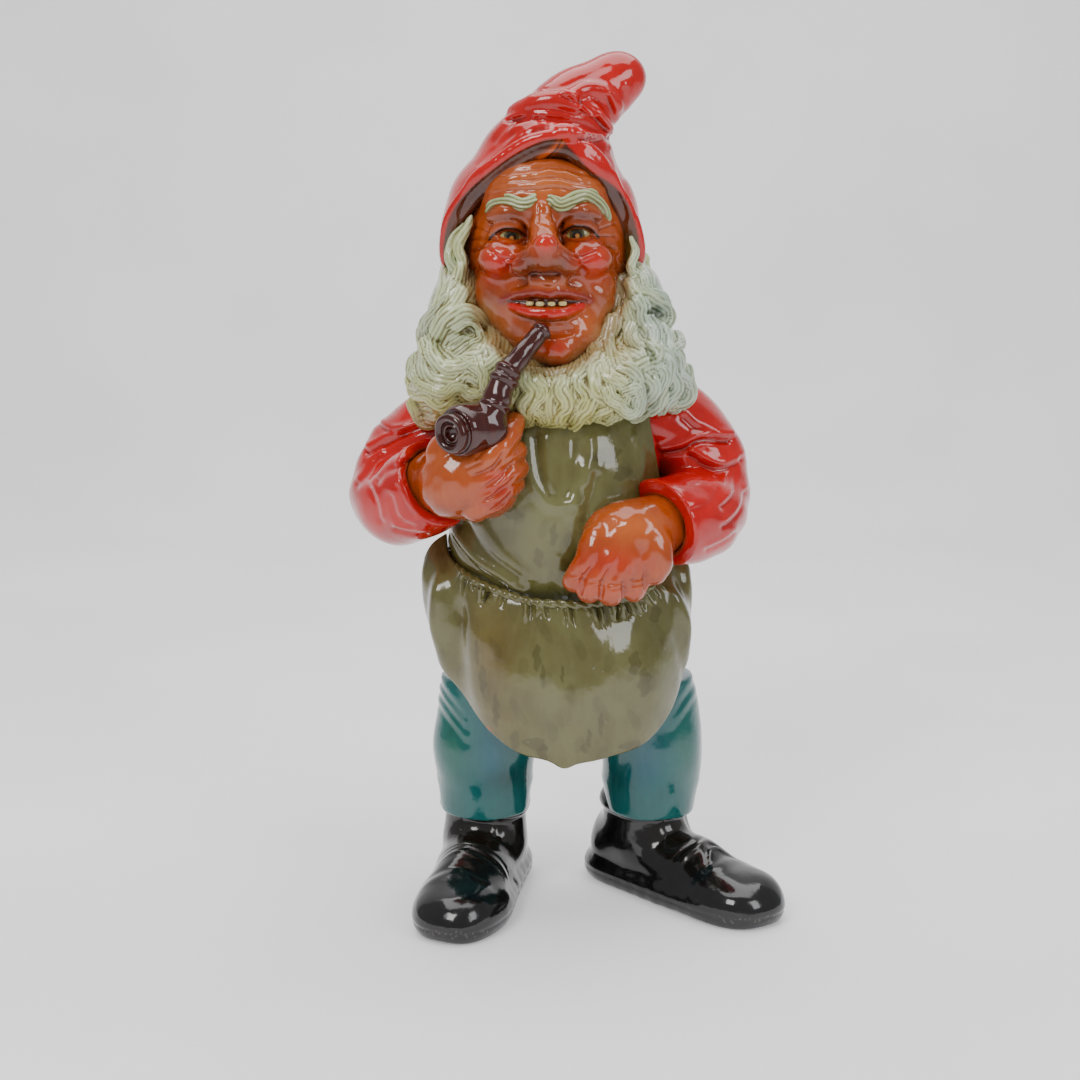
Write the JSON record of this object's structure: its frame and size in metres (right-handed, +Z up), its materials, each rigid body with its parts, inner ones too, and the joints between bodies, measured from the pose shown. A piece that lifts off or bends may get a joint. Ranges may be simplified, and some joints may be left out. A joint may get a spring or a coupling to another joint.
{
  "type": "garden gnome",
  "caption": "Standing garden gnome in cap, apron and slip-on shoes, one fist round a lift-out pipe, the other hand on the belly.",
  "frame": {"origin": "on the ground, under the middle of the figure's bounding box", "axes": "+Z up, the gnome faces -Y, +X towards the gnome's left hand"},
  "size_m": [0.3071, 0.1896, 0.6005],
  "materials": {
    "red_enamel": "glossy red enamel over fired clay",
    "flesh_enamel": "glossy terracotta flesh enamel, redder on cheeks, nose, lips and knuckles",
    "beard_enamel": "glossy cream green enamel, ochre in the grooves",
    "apron_enamel": "glossy olive grey enamel",
    "trouser_enamel": "glossy teal enamel with blue patches",
    "shoe_enamel": "glossy black enamel",
    "pipe_enamel": "glossy dark brown enamel"
  },
  "bodies": {
    "figure": {"cap": "red_enamel", "head": "flesh_enamel", "hair_and_beard": "beard_enamel", "jacket": "red_enamel", "right_sleeve": "red_enamel", "left_sleeve": "red_enamel", "right_hand": "flesh_enamel", "left_hand": "flesh_enamel", "apron_bib": "apron_enamel", "apron_string": "apron_enamel", "apron_bow": "apron_enamel", "apron_skirt": "apron_enamel", "trouser_seat": "trouser_enamel", "right_leg": "trouser_enamel", "left_leg": "trouser_enamel", "right_shoe": "shoe_enamel", "left_shoe": "shoe_enamel"},
    "pipe": {"pipe_bowl": "pipe_enamel", "pipe_stem": "pipe_enamel", "pipe_bit": "pipe_enamel"}
  },
  "joints": [
    {"name": "pipe_lift", "type": "slide", "parent": "figure", "child": "pipe", "axis": [0.1198, -0.499, 0.8583], "range_m": [0, 0.05]}
  ]
}
